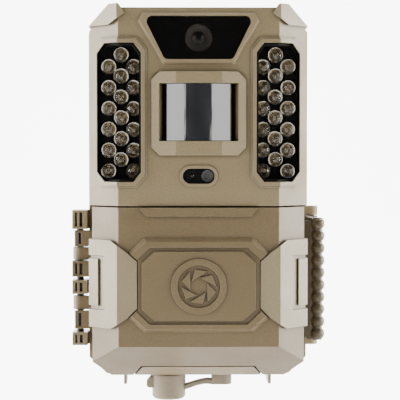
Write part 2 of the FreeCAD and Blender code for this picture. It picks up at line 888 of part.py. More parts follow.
def door_shell():
    shell = door_body(0, door_back)
    lip = [(-lip_low_half, lip_low), (lip_low_half, lip_low), (lip_top_half, door_top), (-lip_top_half,
            door_top)]
    lip = prism_y(lip, front - lip_proud, front + 1)
    cavity = door_body(door_wall, door_back + 1)
    shell = fuse([shell, lip]).cut(cavity)
    floor = block(-notch_low_half - 2, notch_low_half + 2, front, door_back, notch_top, notch_top + 1.8)
    shell = fuse([shell, floor.common(door_body(0.3, door_back))]).cut(notch(0, 0, front - 1, seam))
    hinge_parts = [hinge_block(low, high, True) for low, high in door_knuckles]
    for low, high in door_sleeves:
        arm = block(hinge_x, -door_half + door_wall / 2, hinge_y - sleeve_radius, door_back, low, high)
        hinge_parts += [rod_z(hinge_x, hinge_y, sleeve_radius, low, high), arm]
    for low, high in slot_webs:
        web = block(hinge_x - slot_web_half, -door_half + door_wall / 2, hinge_y - hinge_front + 0.4,
                    hinge_y - hinge_pin_radius - 0.5, low, high)
        slot = block(hinge_x + web_slot[0], hinge_x + web_slot[1], seam - 6, seam, low + slot_end,
                high - slot_end)
        hinge_parts.append(web.cut(slot))
    shell = fuse([shell] + hinge_parts)
    return shell.cut(hinge_bore(0, split_height))


def plate_outline(half, low, high, cut_x, cut_z):
    return octagon(-half, half, low, high, cut_x, cut_z)


def grip_outline(gap):
    """The right-hand grip in elevation. A positive gap makes it larger all round at its inner edges."""
    return [
        (40.0, grip_low - gap), (28.6 - gap, grip_low - gap), (plate_half - gap, 21.2 - gap),
        (grip_inner - gap, 24.4 - gap), (grip_inner - gap, 39.5 + gap), (plate_half - gap, 42.3 + gap),
        (28.7 - gap, grip_high + gap), (40.0, grip_high + gap),
    ]


def door_center_plate():
    def ring(half, low, high, cut_x, cut_z, y):
        return [V(x, y, z) for x, z in plate_outline(half, low, high, cut_x, cut_z)]

    b = plate_bevel
    plate = loft(
        ring(plate_half, plate_low, plate_high, plate_corner_x, plate_corner_z, front),
        ring(plate_half - b, plate_low + b, plate_high - b, plate_corner_x - b * 0.4,
                plate_corner_z - b * 0.4,
             front - plate_proud),
    )
    outer = prism_y(plate_outline(groove_outer_half, 19.2, 44.1, 4.3, 4.0), front - plate_proud - 1,
                    front - plate_proud + groove_depth)
    inner = prism_y(plate_outline(groove_inner_half, 20.4, 42.8, 4.0, 3.7), front - plate_proud - 2,
                    front)
    plate = plate.cut(outer.cut(inner))
    grips = prism_y(grip_outline(grip_gap), front - 5, front + 1)
    return plate.cut(grips).cut(mirrored(grips))


def door_side_grips():
    proud_body = prism_z(case_plan(door_half, grip_proud, front + grip_back), 0, door_top)
    wrap = prism_y(grip_outline(0), front - 5, front + grip_back).common(proud_body)
    wrap = wrap.cut(prism_z(case_plan(door_half, 0, front + grip_back + 1), -1, door_top + 1))
    wrap = wrap.common(block(0, 60, front - 5, seam, 0, 60))
    groove_floor = prism_z(case_plan(door_half, grip_proud - 0.7, front + grip_back + 1), 0, door_top)
    groove = prism_y([(30.6, 23.3), (40, 23.3), (40, 41.1), (30.6, 41.1)], front - 5, front + 30)
    pad = prism_y([(32.8, 24.6), (41, 24.6), (41, 40.0), (32.8, 40.0)], front - 6, front + 31)
    return both_sides(wrap.cut(groove.cut(pad).cut(groove_floor)))


def door_badge():
    face = front - plate_proud
    ring = rod_y(0, badge_height, badge_outer, face - badge_proud, face).cut(
        rod_y(0, badge_height, badge_inner, face - 5, face + 5))
    blades = []
    for index in range(6):
        turn = math.radians(60 * index)
        inner = math.radians(60 * index + 60)
        points = []
        for radius, angle in ((5.7, turn), (5.7, turn + math.radians(42)), (2.9, inner + math.radians(20))):
            points.append((radius * math.cos(angle), badge_height + radius * math.sin(angle)))
        blades.append(prism_y(points, face - badge_proud, face))
    return Part.makeCompound([ring] + blades)


def door_liner():
    inner = front + door_wall
    plate = block(-29.0, 29.0, inner, inner + 1.2, 14.5, 53.0)
    return plate.common(door_body(door_wall + 0.05, door_back))


def bay_gasket():
    outer = block(-panel_half - 0.2, panel_half + 0.2, panel_front + 0.4, panel_back - 0.2, panel_low - 0.2,
                  panel_high + 0.2)
    inner = block(-panel_half + 1.0, panel_half - 1.0, panel_front, seam, panel_low + 1.0, panel_high - 1.0)
    return outer.cut(inner)


def key_places():
    x, z = key_centre
    return {
        "button_ok": (x, z), "button_up": (x, z + key_pitch), "button_down": (x, z - key_pitch),
        "button_left": (x - key_pitch, z), "button_right": (x + key_pitch, z),
    }


def control_panel():
    plate = block(-panel_half, panel_half, panel_front, panel_back, panel_low, panel_high)
    skirt = block(-panel_half, panel_half, panel_back, seam + ledge_setback, panel_low, panel_high)
    inside = block(-panel_half + skirt_wall, panel_half - skirt_wall, panel_back, seam + 5,
                   panel_low + skirt_wall, panel_high - skirt_wall)
    panel = fuse([plate, skirt.cut(inside)])
    corner = prism_y(bottom_outline(door_half, 80, door_wall + 0.4), panel_front - 1, seam + 9)
    panel = panel.common(corner)
    for side in (-1, 1):
        panel = panel.fuse(rod_y(side * screw_x, screw_heights[0], panel_boss_radius, panel_back,
                seam + 5.5))
    panel = panel.removeSplitter()
    for side in (-1, 1):
        panel = panel.cut(rod_y(side * screw_x, screw_heights[0], screw_radius, panel_back + 0.2, seam + 6))
    for x, z in key_places().values():
        panel = panel.cut(rod_y(x, z, key_radius + key_clearance, panel_front - 1, panel_back + 1))
    panel = panel.cut(block(-lcd_half, lcd_half, panel_front - 1, panel_back + 1, lcd_low, lcd_high))
    panel = panel.cut(block(switch_x - 1.6, switch_x + 1.6, panel_front - 1, panel_back + 1,
                            switch_height - switch_slot_half, switch_height + switch_slot_half))
    panel = panel.cut(block(sd_x - sd_thickness / 2 - 0.4, sd_x + sd_thickness / 2 + 0.4, panel_front - 1,
                            panel_back + 1, sd_low - 0.6, sd_low + sd_width + 0.6))
    panel = panel.cut(block(-25.5, -17.0, panel_front - 1, panel_back + 1, 20.5, 24.5))
    panel = panel.cut(block(sd_x - 3.2, sd_x + 3.6, panel_back + 0.05, seam + 9, sd_low - 1.6,
                            sd_low + sd_width + 1.6))
    return panel.cut(jack_room()).cut(bay_gasket())


def control_key(place):
    x, z = place
    cap = rod_y(x, z, key_radius, panel_front - key_proud, panel_back)
    flange = rod_y(x, z, key_radius + key_flange_width, panel_back + 0.05, panel_back + 0.05 + key_flange)
    return fuse([cap, flange, rod_y(x, z, 1.4, panel_back, panel_back + 1.6)])


def panel_switches():
    """The five key switches and the housing of the slide switch, on the control board."""
    slider_housing = block(switch_x - 2.9, switch_x + 2.9, panel_back + 1.4, board_front, switch_height - 6,
                           switch_height + 6)
    solids = [slider_housing]
    for x, z in key_places().values():
        solids.append(block(x - 3, x + 3, board_front - 0.9, board_front, z - 3, z + 3))
    return Part.makeCompound(solids)


def control_board():
    board = block(-28.0, 24.5, board_front, board_front + 1.2, 14.8, panel_high - 1.6)
    return board.cut(block(-31, -24.6, board_front - 1, board_front + 3, 10, 17.5))


def lcd_block(y0, y1):
    half = lcd_half - lcd_fit
    return block(-half, half, y0, y1, lcd_low + lcd_fit, lcd_high - lcd_fit)


def lcd_window():
    return lcd_block(panel_front + 0.2, panel_front + 1.2)


def lcd_panel():
    return lcd_block(panel_front + 1.3, board_front)


def mode_switch_knob():
    knob = block(switch_x - 1.3, switch_x + 1.3, panel_front - 1.8, panel_back + 1.1,
            switch_height - switch_knob_half,
                 switch_height + switch_knob_half)
    for step in (-1.0, 0.0, 1.0):
        knob = knob.cut(block(switch_x - 2, switch_x + 2, panel_front - 2, panel_front - 1.4,
                              switch_height + step - 0.2, switch_height + step + 0.2))
    return knob


def sd_card():
    x0, x1 = sd_x - sd_thickness / 2, sd_x + sd_thickness / 2
    y0 = panel_front - sd_proud
    z0, z1 = sd_low, sd_low + sd_width
    outline = [(y0, z0), (y0 + sd_length, z0), (y0 + sd_length, z1 - 4), (y0 + sd_length - 4, z1), (y0, z1)]
    return prism_x(outline, x0, x1)


def sd_socket():
    x0, x1 = sd_x - sd_thickness / 2 - sd_clearance, sd_x + sd_thickness / 2 + sd_clearance
    y0 = panel_back + 0.3
    y1 = panel_front - sd_proud + sd_length + 1.5
    outer = block(x0 - 0.7, x1 + 0.9, y0, y1 + 0.8, sd_low - 1.2, sd_low + sd_width + 1.2)
    room = block(x0, x1, y0 - 1, y1, sd_low - sd_clearance, sd_low + sd_width + sd_clearance)
    return outer.cut(room)


def usb_port():
    shell = block(-25.0, -17.5, panel_front + 0.3, board_front, 21.0, 24.0)
    return shell.cut(block(-24.4, -18.1, panel_front, board_front - 1, 21.5, 23.5)).fuse(
        block(-23.4, -19.1, panel_front + 1.0, board_front - 0.5, 22.25, 22.75))


def dc_jack():
    y = seam + port_setback
    body = block(port_x - 4.6, port_x + 4.6, y - 4.2, y + 3.3, wall + 0.05, wall + 11.0)
    body = body.cut(rod_z(port_x, y - 0.3, 2.8, wall - 1, wall + 9.0))
    return body.fuse(rod_z(port_x, y - 0.3, 1.0, wall + 1.5, wall + 9.5))


def battery_bay():
    top = shelf_top - shelf_thickness
    outer = block(-bay_half, bay_half, bay_front - bay_wall, rear_inner, wall, top)
    inner = block(-tray_half - tray_clearance, tray_half + tray_clearance, bay_front, rear_inner + 1,
            0, top + 1)
    return outer.cut(inner)


def cell_places():
    places = []
    for column in range(cell_columns):
        x = (column - (cell_columns - 1) / 2) * cell_pitch
        for row in range(cell_rows):
            places.append((x, tray_back - cell_pitch * (row + 0.5) - tray_side_wall / 2,
                    (column + row) % 2))
    return places


def battery_tray():
    tray = block(-tray_half, tray_half, tray_front, tray_back, 0, tray_top)
    room = block(-tray_half + tray_side_wall, tray_half - tray_side_wall, tray_front - 1,
            tray_back + 1, tray_floor,
                 tray_top - tray_lid)
    tray = tray.cut(room)
    ribs = []
    for x in (-cell_pitch / 2, cell_pitch / 2):
        for y in (tray_front + 0.7, (tray_front + tray_back) / 2, tray_back - 0.7):
            ribs.append(block(x - 1.0, x + 1.0, y - 0.7, y + 0.7, tray_floor, tray_top - tray_lid))
    tray = fuse([tray] + ribs)
    for x, y, _ in cell_places():
        tray = tray.cut(rod_z(x, y, cell_radius + 0.2, tray_floor, tray_top - tray_lid))
    tray = tray.cut(block(-5.2, 5.2, tray_front + 0.6, tray_front + 5.4, -1, 1.7))
    return tray.cut(block(-9, 9, tray_back - 12, tray_back - 4, -1, 1.2))


def aa_cells():
    solids = []
    for x, y, flip in cell_places():
        nub = 1.3
        low = cell_low + (nub if flip else 0)
        body = rod_z(x, y, cell_radius, low, low + cell_length - nub)
        tip = rod_z(x, y, 2.75, cell_low if flip else cell_high - nub,
                cell_low + nub if flip else cell_high)
        solids.append(fuse([body, tip]))
    return Part.makeCompound(solids)


def battery_contacts():
    solids = []
    for x, y, _ in cell_places():
        solids.append(rod_z(x, y, 3.6, tray_floor, cell_low))
        solids.append(rod_z(x, y, 3.6, cell_high, tray_top - tray_lid))
    return Part.makeCompound(solids)


def tray_catch():
    tab = block(-4.8, 4.8, tray_front + 0.9, tray_front + 3.4, 0.0, 1.5)
    for index in range(4):
        x = -3.3 + index * 2.2
        tab = tab.cut(block(x - 0.3, x + 0.3, tray_front, tray_front + 5, -1, 0.5))
    return tab


def hinge_pin():
    return rod_z(hinge_x, hinge_y, hinge_pin_radius, hinge_low + 0.1, hinge_high - 0.1)


def latch_pin():
    return rod_z(latch_x, latch_y, latch_pin_radius, latch_low - ear_height + 0.9, latch_high + ear_height)


def latch_lever():
    inner = latch_x - latch_barrel_radius
    plate = block(inner, inner + latch_web_thickness, bead_y, latch_y, latch_low, latch_high)
    barrel = rod_z(latch_x, latch_y, latch_barrel_radius, latch_low, latch_high)
    lip = block(door_half + 0.5, inner + 1.0, bead_y - 1.0, bead_y + 1.6, latch_low + 1, latch_high - 1)
    core = rod_z(bead_x, bead_y, 1.2, latch_low + 0.4, latch_high - 0.4)
    bridge = block(inner, bead_x, bead_y - 0.8, bead_y + 0.8, latch_low + 0.4, latch_high - 0.4)
    lever = fuse([plate, barrel, lip, core, bridge])
    lever = lever.cut(rod_z(latch_x, latch_y, latch_pin_radius + hinge_clearance, latch_low - 1,
            latch_high + 1))
    return lever.cut(latch_grip())


def latch_grip():
    """Ten moulded beads on the lever's front edge."""
    pitch = (latch_high - latch_low) / bead_count
    edges = []
    start = V(bead_x, bead_y, latch_low)
    first = V(bead_x + bead_waist, bead_y, latch_low)
    edges.append(Part.LineSegment(start, first).toShape())
    for index in range(bead_count):
        z = latch_low + index * pitch
        low = V(bead_x + bead_waist, bead_y, z)
        middle = V(bead_x + bead_radius, bead_y, z + pitch / 2)
        high = V(bead_x + bead_waist, bead_y, z + pitch)
        edges.append(Part.Arc(low, middle, high).toShape())
    top = V(bead_x, bead_y, latch_high)
    edges.append(Part.LineSegment(V(bead_x + bead_waist, bead_y, latch_high), top).toShape())
    edges.append(Part.LineSegment(top, start).toShape())
    beads = Part.Face(Part.Wire(edges)).revolve(V(bead_x, bead_y, 0), V(0, 0, 1), 360)
    beads = beads.cut(rod_z(bead_x, bead_y, 1.2, latch_low + 0.4, latch_high - 0.4))
    return beads.cut(block(bead_x - 5, bead_x, bead_y - 0.8, bead_y + 0.8, latch_low + 0.4,
            latch_high - 0.4))


def port_cover():
    cap = rod_z(port_x, port_y, cover_radius, -cover_drop, -cover_gap)
    rim = [edge for edge in cap.Edges if edge.Closed and edge.BoundBox.ZMax < 0.01 - cover_drop]
    cap = cap.makeFillet(1.4, rim)
    stem = rod_z(port_x, port_y, stem_radius, -cover_gap, stem_height)
    tab_x = port_x - cover_radius
    tab = prism_y([(tab_x + 1.5, -5.2), (tab_x - 1.2, -5.2), (tab_x - 1.9, -4.4), (tab_x - 1.9, -3.2),
                   (tab_x, -1.4), (tab_x + 1.5, -1.4)], port_y - 2.4, port_y + 2.4)
    strap = prism_y([(port_x + 3.0, -strap_low - 0.3), (anchor_x - 0.1, -anchor_drop),
                     (anchor_x - 0.1, -anchor_drop + strap_thickness),
                     (port_x + 3.0, -strap_low - 0.3 + strap_thickness)],
                    port_y - strap_width / 2, port_y + strap_width / 2)
    return fuse([cap, stem, tab, strap])


def port_cover_anchor():
    x0 = anchor_x + 0.1
    radius = strap_width / 2
    lug = block(x0, x0 + anchor_length - radius, port_y - radius, port_y + radius, -anchor_drop, 0)
    end = rod_z(x0 + anchor_length - radius, port_y, radius, -anchor_drop, 0)
    return fuse([lug, end])


nodes["rear_shell"] = rear_shell()
nodes["front_housing"] = front_housing().cut(shell_gasket())
nodes["shell_gasket"] = shell_gasket()
nodes["corner_guards"] = corner_guards()
nodes["lens_window"] = lens_window()
nodes["lens_hood"] = lens_hood()
nodes["lens_barrel"] = lens_barrel()
nodes["lens_front_glass"] = lens_front_glass()
nodes["lens_holder"] = lens_holder()
nodes["image_sensor_board"] = image_sensor_board()
for name, side in (("left", -1), ("right", 1)):
    nodes["led_holder_" + name] = led_holder(side)
    nodes["ir_leds_" + name] = ir_leds(side)
    nodes["bracket_rail_" + name] = bracket_rail(side)
nodes["led_boards"] = led_boards()
nodes["pir_bezel"] = pir_bezel()
nodes["pir_fresnel_lens"] = pir_fresnel_lens()
nodes["pir_holder"] = pir_holder()
nodes["pir_sensor"] = pir_sensor()
nodes["indicator_window"] = indicator_window()
nodes["indicator_led"] = indicator_led()
nodes["light_sensor"] = light_sensor()
nodes["main_board"] = main_board()
nodes["board_chips"] = board_chips()
nodes["tripod_insert"] = tripod_insert()
nodes["shell_screws"] = shell_screws()
nodes["door_shell"] = door_shell()
nodes["door_center_plate"] = door_center_plate()
nodes["door_side_grips"] = door_side_grips()
nodes["door_badge"] = door_badge()
nodes["door_liner"] = door_liner()
nodes["bay_gasket"] = bay_gasket()
nodes["control_panel"] = control_panel()
for name, place in key_places().items():
    nodes[name] = control_key(place)
nodes["panel_switches"] = panel_switches()
nodes["control_board"] = control_board()
nodes["lcd_window"] = lcd_window()
nodes["lcd_panel"] = lcd_panel()
nodes["mode_switch_knob"] = mode_switch_knob()
nodes["sd_card"] = sd_card()
nodes["sd_socket"] = sd_socket()
nodes["usb_port"] = usb_port()
nodes["dc_jack"] = dc_jack()
nodes["battery_bay"] = battery_bay()
nodes["battery_tray"] = battery_tray()
nodes["aa_cells"] = aa_cells()
nodes["battery_contacts"] = battery_contacts()
nodes["tray_catch"] = tray_catch()
nodes["hinge_pin"] = hinge_pin()
nodes["latch_pin"] = latch_pin()
nodes["latch_lever"] = latch_lever()
nodes["latch_grip"] = latch_grip()
nodes["port_cover"] = port_cover()
nodes["port_cover_anchor"] = port_cover_anchor()

os.makedirs("parts", exist_ok=True)
for name, shape in nodes.items():
    placed = shape.copy()
    placed.translate(V(0, 0, -socket_height))
    placed.exportStep("parts/" + name + ".step")
    print(name, len(placed.Solids), round(placed.Volume, 1), placed.isValid())
print(len(nodes), "nodes")
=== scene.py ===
"""Looks of the trail camera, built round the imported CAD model. Metres, +Z up, the lens faces -Y."""
import json
import math
import random

import bmesh
import bpy
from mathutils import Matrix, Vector


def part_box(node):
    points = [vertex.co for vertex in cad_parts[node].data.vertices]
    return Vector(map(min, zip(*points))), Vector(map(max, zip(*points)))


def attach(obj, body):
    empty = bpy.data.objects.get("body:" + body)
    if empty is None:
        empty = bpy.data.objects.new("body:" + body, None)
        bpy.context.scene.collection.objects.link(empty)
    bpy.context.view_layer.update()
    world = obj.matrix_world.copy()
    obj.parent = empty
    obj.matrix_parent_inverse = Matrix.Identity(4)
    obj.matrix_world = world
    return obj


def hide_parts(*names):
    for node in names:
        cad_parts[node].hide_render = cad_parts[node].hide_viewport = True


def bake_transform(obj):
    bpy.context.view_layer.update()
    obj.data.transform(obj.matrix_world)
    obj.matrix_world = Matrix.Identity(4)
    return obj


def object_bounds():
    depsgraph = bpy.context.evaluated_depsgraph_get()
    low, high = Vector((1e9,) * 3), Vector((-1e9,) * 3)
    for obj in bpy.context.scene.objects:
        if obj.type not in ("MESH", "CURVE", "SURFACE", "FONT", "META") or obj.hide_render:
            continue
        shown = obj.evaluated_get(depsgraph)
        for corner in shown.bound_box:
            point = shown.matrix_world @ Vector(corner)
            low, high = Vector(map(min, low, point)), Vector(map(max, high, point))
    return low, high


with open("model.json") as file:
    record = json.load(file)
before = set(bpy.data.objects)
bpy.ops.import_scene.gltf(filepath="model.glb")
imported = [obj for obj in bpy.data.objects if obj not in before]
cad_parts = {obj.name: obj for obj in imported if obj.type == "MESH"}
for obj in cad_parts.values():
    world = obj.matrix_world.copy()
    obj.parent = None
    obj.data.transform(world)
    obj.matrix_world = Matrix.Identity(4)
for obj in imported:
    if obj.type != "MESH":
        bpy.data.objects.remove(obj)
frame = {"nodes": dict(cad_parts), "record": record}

cad_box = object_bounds()
MM = 0.001
nodes = frame["nodes"]
scene = bpy.context.scene
random.seed(7)

# Camera. The rims of the windows stand proud of the front face, which the camera is measured from
RIM_PROUD = 0.9
FRONT_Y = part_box("front_housing")[0].y + RIM_PROUD * MM
EYE = Vector((-7.6, -450.0, 8.8)) * MM + Vector((0, FRONT_Y, 0))
AIM = Vector((0.4, 0.0, -7.3)) * MM + Vector((0, FRONT_Y, 0))
LENS_MM = 125.5
SENSOR_MM = 36.0


def look(obj, eye, aim):
    obj.location = eye
    obj.rotation_euler = (Vector(aim) - Vector(eye)).to_track_quat("-Z", "Y").to_euler()


def link(obj):
    scene.collection.objects.link(obj)
    return obj


def make_camera():
    data = bpy.data.cameras.new("camera")
    data.lens = LENS_MM
    data.sensor_width = SENSOR_MM
    data.clip_start = 0.01
    data.clip_end = 20
    cam = link(bpy.data.objects.new("camera", data))
    look(cam, EYE, AIM)
    scene.camera = cam


def area_light(name, eye, aim, width, height, power, colour=(1, 1, 1)):
    data = bpy.data.lights.new(name, "AREA")
    data.shape = "RECTANGLE"
    data.size = width
    data.size_y = height
    data.energy = power
    data.color = colour
    look(link(bpy.data.objects.new(name, data)), eye, aim)


# Materials. Noise scales are in waves per metre, lengths in metres
CLOUDS, DUST, RUBS, PITS, GRAIN = 28.0, 90.0, 240.0, 700.0, 4200.0
NODE_SAMPLES = 6
# Edge mask limits for the paler edges, partly worn and partly a painted highlight
EDGE_FLAT, EDGE_ROUND = 0.995, 0.90
# Occlusion limits, reach and depth of the painted shade in grooves and inner corners
OCCLUDED, OPEN = 0.34, 0.90
GROOVE_REACH = 0.0017
GROOVE_SHADE = 0.28
MOULD_ROUNDING = 0.0003
GLOSS_ROUNDING = 0.0002
METAL_ROUNDING = 0.00015
GRAIN_DEPTH = 0.00006
LINE_DEPTH = 0.00003
PLASTIC_IOR, CLEAR_IOR, PANE_IOR, FILM_IOR = 1.5, 1.49, 1.45, 2.9


def set_input(node, name, value):
    node.inputs[name].default_value = value


class Nodes:
    """Short calls for building one material's node tree."""

    def __init__(self, name):
        self.material = bpy.data.materials.new(name)
        self.material.use_nodes = True
        self.tree = self.material.node_tree
        self.shader = self.tree.nodes["Principled BSDF"]
        self.where = self.add("ShaderNodeTexCoord").outputs["Object"]

    def add(self, kind, **values):
        node = self.tree.nodes.new(kind)
        for key, value in values.items():
            setattr(node, key, value)
        return node

    def join(self, output, target):
        self.tree.links.new(output, target)

    def stretch(self, along_z):
        """Draws out, by a Z scale under 1, every noise that follows."""
        node = self.add("ShaderNodeMapping")
        set_input(node, "Scale", (1.0, 1.0, along_z))
        self.join(self.where, node.inputs["Vector"])
        self.where = node.outputs["Vector"]

    def noise(self, scale, detail=3.0, roughness=0.5):
        node = self.add("ShaderNodeTexNoise")
        set_input(node, "Scale", scale)
        set_input(node, "Detail", detail)
        set_input(node, "Roughness", roughness)
        self.join(self.where, node.inputs["Vector"])
        return node.outputs["Fac"]

    def spread(self, value, low, high, out_low=0.0, out_high=1.0):
        node = self.add("ShaderNodeMapRange")
        limits = {"From Min": low, "From Max": high, "To Min": out_low, "To Max": out_high}
        for name, number in limits.items():
            set_input(node, name, number)
        self.join(value, node.inputs["Value"])
        return node.outputs["Result"]

    def mix(self, factor, first, second):
        node = self.add("ShaderNodeMix", data_type="RGBA")
        for index, value in ((6, first), (7, second)):
            if isinstance(value, tuple):
                node.inputs[index].default_value = (*value, 1.0)
            else:
                self.join(value, node.inputs[index])
        self.join(factor, node.inputs[0])
        return node.outputs[2]

    def maths(self, operation, first, second):
        node = self.add("ShaderNodeMath", operation=operation)
        for index, value in enumerate((first, second)):
            if isinstance(value, (int, float)):
                node.inputs[index].default_value = value
            else:
                self.join(value, node.inputs[index])
        return node.outputs[0]

    def bevel(self, radius):
        node = self.add("ShaderNodeBevel", samples=NODE_SAMPLES)
        set_input(node, "Radius", radius)
        return node.outputs["Normal"]

    def edge(self, radius):
        """1 along convex and concave edges, 0 on flat faces."""
        bevel = self.bevel(radius)
        geometry = self.add("ShaderNodeNewGeometry")
        dot = self.add("ShaderNodeVectorMath", operation="DOT_PRODUCT")
        self.join(bevel, dot.inputs[0])
        self.join(geometry.outputs["Normal"], dot.inputs[1])
        return self.spread(dot.outputs["Value"], EDGE_FLAT, EDGE_ROUND)

    def painted_crevice_shade(self, reach, darkest):
        """Painted shade: 1 in the open, and down to darkest in grooves and inner corners."""
        occlusion = self.add("ShaderNodeAmbientOcclusion", samples=NODE_SAMPLES, only_local=False)
        set_input(occlusion, "Distance", reach)
        return self.spread(occlusion.outputs["AO"], OCCLUDED, OPEN, darkest, 1.0)

    def bump(self, height, strength, distance, rounding=0.0):
        node = self.add("ShaderNodeBump")
        set_input(node, "Strength", strength)
        set_input(node, "Distance", distance)
        self.join(height, node.inputs["Height"])
        if rounding:
            self.join(self.bevel(rounding), node.inputs["Normal"])
        self.join(node.outputs["Normal"], self.shader.inputs["Normal"])


def moulded(name, colour, light, dark, roughness=0.5, bump=0.13, wear_and_highlight=0.75, shine=0.5):
    """Spark-textured moulded plastic with soft flow marks, paler edges that are partly worn and partly a
    painted highlight, and painted shade in grooves and inner corners.
    """
    n = Nodes(name)
    flow = n.spread(n.noise(CLOUDS, 4.0, 0.6), 0.35, 0.65)
    fine = n.noise(GRAIN, 2.0, 0.6)
    tint = n.mix(flow, dark, colour)
    tint = n.mix(n.spread(fine, 0.42, 0.62, 0.0, 0.35), tint, light)
    # Paler convex and concave edges: partly worn plastic, partly a painted highlight
    patches = n.spread(n.noise(RUBS, 4.0, 0.7), 0.38, 0.66, 0.25, 1.0)
    rubbed_and_highlit = n.maths("MULTIPLY", n.edge(MOULD_ROUNDING * 1.3), patches)
    tint = n.mix(n.maths("MULTIPLY", rubbed_and_highlit, wear_and_highlight), tint, light)
    # Painted shade: grooves and inner corners darkened towards the dark tone, from ambient occlusion
    tint = n.mix(n.painted_crevice_shade(GROOVE_REACH, 0.0), tuple(c * GROOVE_SHADE for c in dark), tint)
    n.join(tint, n.shader.inputs["Base Color"])
    haze = n.spread(n.noise(DUST, 4.0, 0.6), 0.3, 0.7, roughness - 0.07, roughness + 0.08)
    n.join(haze, n.shader.inputs["Roughness"])
    set_input(n.shader, "IOR", PLASTIC_IOR)
    set_input(n.shader, "Specular IOR Level", shine)
    height = n.maths("ADD", fine, n.maths("MULTIPLY", n.noise(PITS, 2.0), 0.5))
    n.bump(height, bump, GRAIN_DEPTH, MOULD_ROUNDING)
    return n.material


def gloss(name, colour, roughness, coat=0.6):
    """Polished plastic with faint smears and dust."""
    n = Nodes(name)
    cloud = n.noise(55.0, 5.0, 0.65)
    dusty = tuple(c * 1.5 + 0.004 for c in colour)
    n.join(n.mix(n.spread(cloud, 0.4, 0.75, 0.0, 0.5), colour, dusty), n.shader.inputs["Base Color"])
    n.join(n.spread(cloud, 0.35, 0.7, roughness, roughness + 0.06), n.shader.inputs["Roughness"])
    set_input(n.shader, "Coat Weight", coat)
    set_input(n.shader, "Coat Roughness", 0.05)
    n.bump(n.noise(1800.0, 2.0), 0.06, LINE_DEPTH, GLOSS_ROUNDING)
    return n.material


def metal(name, colour, roughness, brushed=900.0):
    """Metal with fine lines along Z."""
    n = Nodes(name)
    n.stretch(0.08)
    lines = n.noise(brushed, 3.0, 0.6)
    tint = n.mix(n.spread(lines, 0.3, 0.7), tuple(c * 0.75 for c in colour), colour)
    n.join(tint, n.shader.inputs["Base Color"])
    set_input(n.shader, "Metallic", 1.0)
    n.join(n.spread(lines, 0.3, 0.7, roughness - 0.08, roughness + 0.1), n.shader.inputs["Roughness"])
    n.bump(lines, 0.15, LINE_DEPTH, METAL_ROUNDING)
    return n.material


def clear(name, colour):
    """Clear plastic with slightly uneven faces."""
    n = Nodes(name)
    set_input(n.shader, "Base Color", (*colour, 1))
    set_input(n.shader, "Transmission Weight", 1.0)
    set_input(n.shader, "IOR", CLEAR_IOR)
    n.join(n.spread(n.noise(400.0, 3.0), 0.35, 0.7, 0.03, 0.08), n.shader.inputs["Roughness"])
    n.bump(n.noise(900.0, 2.0), 0.05, 0.00002)
    return n.material


def pane(name, colour):
    """A tinted window, darker than clear plastic, with a faint dust film."""
    n = Nodes(name)
    dust = n.spread(n.noise(160.0, 4.0, 0.7), 0.5, 0.8, 0.0, 0.25)
    n.join(n.mix(dust, colour, tuple(c * 0.8 for c in colour)), n.shader.inputs["Base Color"])
    set_input(n.shader, "Transmission Weight", 1.0)
    set_input(n.shader, "IOR", PANE_IOR)
    n.join(n.spread(dust, 0.0, 0.3, 0.0, 0.05), n.shader.inputs["Roughness"])
    n.bump(n.noise(60.0, 2.0), 0.05, 0.00005)
    return n.material


def fresnel(name):
    """Dark infrared-passing film: fine grooves across it and slow waves from moulding."""
    n = Nodes(name)
    n.stretch(0.22)
    waves = n.noise(230.0, 2.0, 0.5)
    grooves = n.add("ShaderNodeTexWave", bands_direction="X")
    set_input(grooves, "Scale", 420.0)
    set_input(grooves, "Distortion", 0.6)
    n.join(n.where, grooves.inputs["Vector"])
    cloud = n.spread(n.noise(300.0, 3.0), 0.35, 0.7)
    tint = n.mix(cloud, (0.010, 0.010, 0.011), (0.022, 0.022, 0.026))
    n.join(tint, n.shader.inputs["Base Color"])
    set_input(n.shader, "IOR", FILM_IOR)
    n.join(n.spread(n.noise(500.0, 3.0), 0.3, 0.7, 0.05, 0.14), n.shader.inputs["Roughness"])
    fine = n.maths("MULTIPLY", grooves.outputs["Fac"], 0.10)
    n.bump(n.maths("ADD", n.maths("MULTIPLY", waves, 5.0), fine), 0.30, 0.00010)
    return n.material
